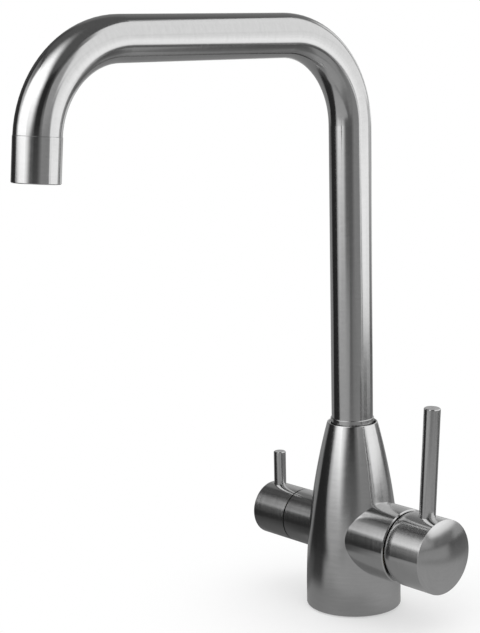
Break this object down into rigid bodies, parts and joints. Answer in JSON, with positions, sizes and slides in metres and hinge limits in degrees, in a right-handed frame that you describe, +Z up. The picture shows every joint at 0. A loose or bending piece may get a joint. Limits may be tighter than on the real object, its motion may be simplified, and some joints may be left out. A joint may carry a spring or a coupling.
{
  "type": "drinking water filter tap",
  "caption": "Deck-mounted kitchen mixer tap with a tall square swivel spout, a side lever for hot and cold water and a small lever for filtered drinking water.",
  "frame": {"origin": "centre of the body's underside, on the worktop and on the spout's swivel axis", "axes": "+Z up along the swivel axis; -Y the way the spout points; +X along the mixer valve, -X along the filter valve"},
  "size_m": [0.1522, 0.2627, 0.357],
  "materials": {
    "brushed_steel": "brushed",
    "brass": "machined",
    "rubber": "matte",
    "seal_plastic": "matte",
    "grey_plastic": "matte",
    "black_plastic": "matte",
    "ceramic": "lapped",
    "plain_steel": "machined"
  },
  "bodies": {
    "tap_body": {"body_casing": "brushed_steel", "swivel_bush": "brushed_steel", "base_seal": "rubber", "core_block": "brass", "cartridge_housing": "brass", "housing_o_ring": "rubber", "cartridge_seals": "rubber", "cartridge_base": "grey_plastic", "mixer_fixed_disc": "ceramic", "cartridge_shell": "grey_plastic", "cartridge_nut": "brass", "headwork_body": "brass", "seat_seal": "rubber", "filter_fixed_disc": "ceramic", "filter_collar": "brass", "swivel_washer": "seal_plastic", "filtered_tube_o_ring": "rubber"},
    "spout": {"spout_tube": "brushed_steel", "spout_spigot": "brass", "spigot_o_rings": "rubber", "spout_clip": "seal_plastic", "filtered_water_tube": "seal_plastic", "outlet_adapter": "brass", "outlet_sleeve": "brushed_steel", "aerator_washer": "rubber", "aerator_insert": "black_plastic", "aerator_screen": "seal_plastic"},
    "mixer_turn": {"disc_carrier": "seal_plastic", "pivot_pin": "plain_steel"},
    "mixer_lift": {"lever_stem": "brass", "mixer_handle": "brushed_steel", "mixer_lever": "brushed_steel", "mixer_grub_screw": "plain_steel"},
    "mixer_disc": {"mixer_moving_disc": "ceramic"},
    "filter_turn": {"filter_spindle": "brass", "spindle_o_rings": "rubber", "spindle_clip": "plain_steel", "filter_turning_disc": "ceramic", "filter_knob": "brushed_steel", "filter_lever": "brushed_steel", "filter_grub_screw": "plain_steel"}
  },
  "joints": [
    {"name": "spout_swivel", "type": "hinge", "parent": "tap_body", "child": "spout", "pos_m": [0, 0, 0.0968], "axis": [0, 0, 1], "continuous": true},
    {"name": "mixer_temperature", "type": "hinge", "parent": "tap_body", "child": "mixer_turn", "pos_m": [0.0385, 0, 0.0452], "axis": [1, 0, 0], "range_deg": [-45, 45]},
    {"name": "mixer_flow", "type": "hinge", "parent": "mixer_turn", "child": "mixer_lift", "pos_m": [0.0385, 0, 0.0452], "axis": [0, 1, 0], "range_deg": [0, 12]},
    {"name": "mixer_disc_slide", "type": "slide", "parent": "mixer_turn", "child": "mixer_disc", "axis": [0, 0, 1], "range_m": [0, 0.00245]},
    {"name": "filter_turn", "type": "hinge", "parent": "tap_body", "child": "filter_turn", "pos_m": [-0.043, 0, 0.0452], "axis": [1, 0, 0], "range_deg": [0, 90]}
  ],
  "couplings": [
    {"joint": "mixer_disc_slide", "follows": "mixer_flow", "m_per_rad": 0.0115}
  ]
}
